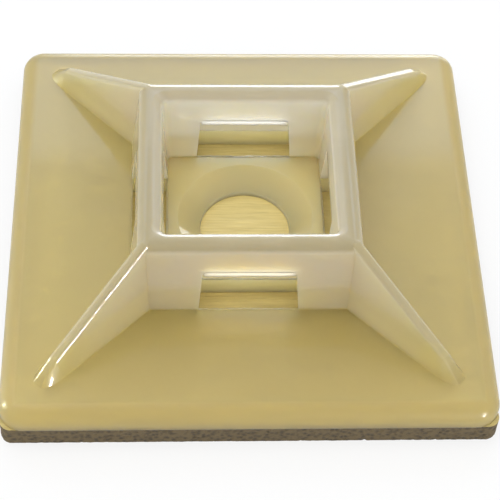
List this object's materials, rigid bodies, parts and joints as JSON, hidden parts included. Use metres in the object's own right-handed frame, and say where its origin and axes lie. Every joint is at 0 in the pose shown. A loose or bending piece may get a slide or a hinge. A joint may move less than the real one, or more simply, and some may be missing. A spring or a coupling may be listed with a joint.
{
  "type": "cable tie mount",
  "caption": "Square self-adhesive cable tie mount: a natural nylon moulding with a raised ring of tie slots, sloping corner ribs and a countersunk screw hole, on a foam pad.",
  "frame": {"origin": "centre of the foam pad's glued underside, on the mounting surface", "axes": "+X right along one side of the base, +Y away along the other side, +Z out of the mounting surface, up through the ring"},
  "size_m": [0.028, 0.028, 0.0078],
  "materials": {
    "natural_nylon": "translucent natural nylon, glossy as moulded",
    "tape_foam": "cut closed-cell foam tape, tan, matte and finely porous"
  },
  "bodies": {
    "root": {"tie_mount": "natural_nylon", "adhesive_pad": "tape_foam"}
  },
  "joints": []
}
